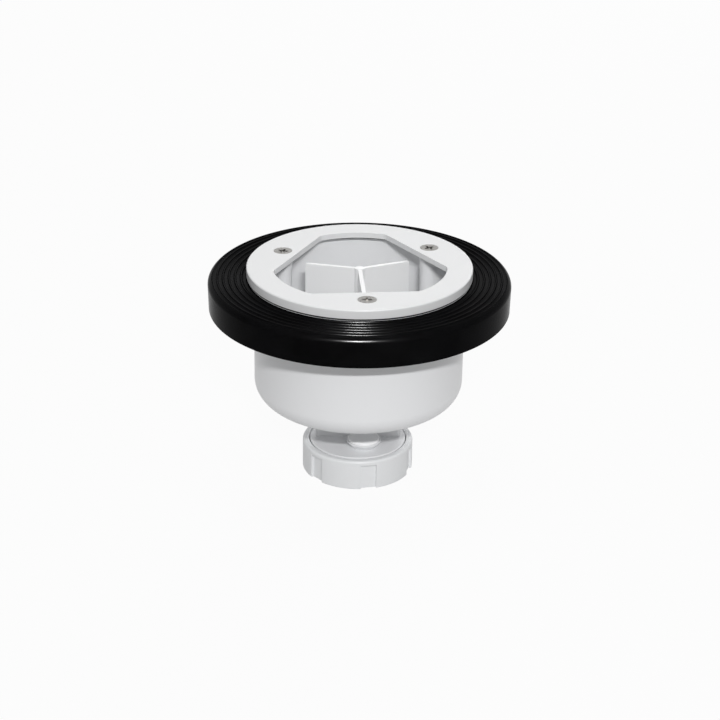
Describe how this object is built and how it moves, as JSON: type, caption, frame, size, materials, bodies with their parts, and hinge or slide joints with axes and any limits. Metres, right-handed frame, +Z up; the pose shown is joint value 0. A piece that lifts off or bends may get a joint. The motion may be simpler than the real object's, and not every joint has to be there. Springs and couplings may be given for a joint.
{
  "type": "shower waste",
  "caption": "Round shower waste for a floor deck: ribbed flange, screwed clamping plate with a lobed mouth, bowl with lift-out bell trap, and a compression outlet nut.",
  "frame": {"origin": "centre of the underside of the union nut, the lowest point, on the axis of the bowl and the flange", "axes": "+Z up along the axis of the bowl, from the outlet nut to the clamping plate; -Y is the side with the front screw and the port plug"},
  "size_m": [0.15, 0.15, 0.1103],
  "materials": {
    "body_white": "moulded, satin",
    "plate_white": "moulded, glossy",
    "insert_white": "moulded, slightly translucent",
    "nut_white": "moulded, satin",
    "flange_black": "black, glossy, ridged top",
    "seal_rubber": "matt",
    "screw_steel": "stainless"
  },
  "bodies": {
    "waste": {"outlet_head": "body_white", "outlet_trunk": "body_white", "port_plug": "insert_white", "cone_washer": "seal_rubber", "bowl_foot": "body_white", "bowl": "body_white", "standpipe": "body_white", "seat_gasket": "seal_rubber", "flange_ring": "flange_black", "clamp_gasket": "seal_rubber", "cover_plate": "plate_white", "plate_screw_front": "screw_steel", "plate_screw_right": "screw_steel", "plate_screw_left": "screw_steel"},
    "nut": {"union_nut": "nut_white", "slip_ring": "nut_white"},
    "bell": {"trap_bell": "insert_white"}
  },
  "joints": [
    {"name": "nut_turn", "type": "hinge", "parent": "waste", "child": "nut", "pos_m": [0, 0, 0.0078], "axis": [0, 0, 1], "range_deg": [-720, 0]},
    {"name": "bell_lift", "type": "slide", "parent": "waste", "child": "bell", "axis": [0, 0, 1], "range_m": [0, 0.075]}
  ]
}
